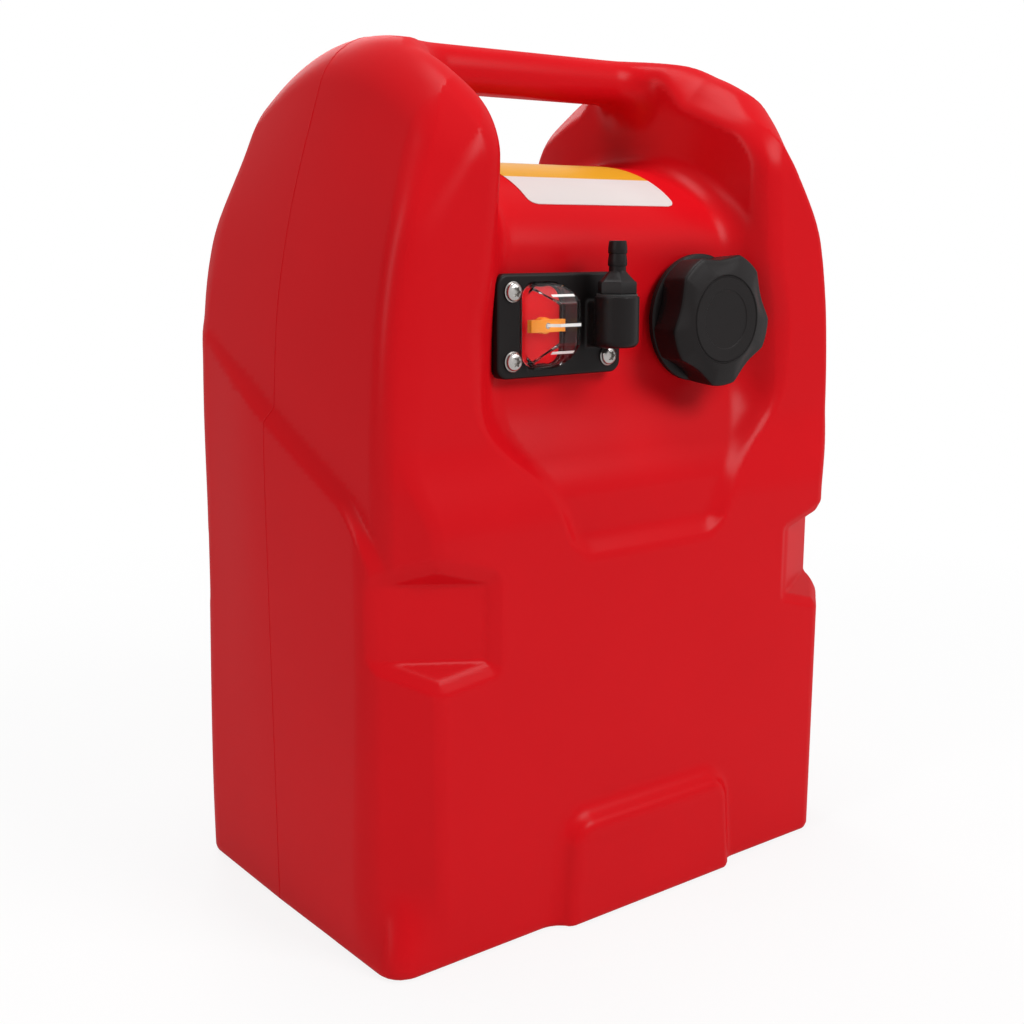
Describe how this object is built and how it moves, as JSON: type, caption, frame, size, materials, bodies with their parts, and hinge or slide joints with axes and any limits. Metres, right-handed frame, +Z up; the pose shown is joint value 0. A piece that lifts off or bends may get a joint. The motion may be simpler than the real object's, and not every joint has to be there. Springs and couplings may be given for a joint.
{
  "type": "portable fuel tank",
  "caption": "Upright red moulded fuel tank with carrying handle, domed float gauge, hose barb outlet and vented screw cap on a recessed front face.",
  "frame": {"origin": "middle of the flat base, on the mould's parting plane", "axes": "+Z up; the fittings face -Y; +X to the right seen from the front"},
  "size_m": [0.326, 0.228, 0.447],
  "materials": {
    "red_shell": "satin moulded polyethylene",
    "label_film": "printed film, blank",
    "brass": "turned",
    "black_plastic": "matte moulded",
    "rubber": "matte",
    "clear_dome": "clear moulded plastic",
    "steel": "bright",
    "orange_plastic": "gloss",
    "float_foam": "closed-cell foam",
    "tube_plastic": "natural translucent",
    "filter_felt": "felt"
  },
  "bodies": {
    "tank": {"tank_body": "red_shell", "label": "label_film", "gauge_inserts": "brass", "gauge_gasket": "rubber", "gauge_base": "black_plastic", "lens_seal": "rubber", "gauge_lens": "clear_dome", "gauge_screws": "steel", "screw_washers": "steel", "pickup_tube": "tube_plastic", "pickup_strainer": "tube_plastic", "outlet_seal": "rubber", "outlet_fitting": "black_plastic"},
    "float_gauge": {"pointer": "orange_plastic", "pointer_shaft": "steel", "shaft_clip": "steel", "float_arm": "steel", "float": "float_foam", "float_clip": "steel"},
    "cap_seal": {"cap_gasket": "rubber"},
    "cap": {"cap_sleeve": "black_plastic", "vent_valve": "rubber", "vent_filter": "filter_felt", "cap_cover": "black_plastic"}
  },
  "joints": [
    {"name": "gauge_swing", "type": "hinge", "parent": "tank", "child": "float_gauge", "pos_m": [-0.057, -0.075, 0.307], "axis": [0, -1, 0], "range_deg": [-45, 45]},
    {"name": "cap_lift", "type": "slide", "parent": "tank", "child": "cap_seal", "axis": [0, -1, 0], "range_m": [0, 0.01575]},
    {"name": "cap_turn", "type": "hinge", "parent": "cap_seal", "child": "cap", "pos_m": [0.05, -0.1, 0.307], "axis": [0, -1, 0], "range_deg": [0, 1260]}
  ],
  "couplings": [
    {"joint": "cap_lift", "follows": "cap_turn", "m_per_rad": 0.0007162}
  ]
}
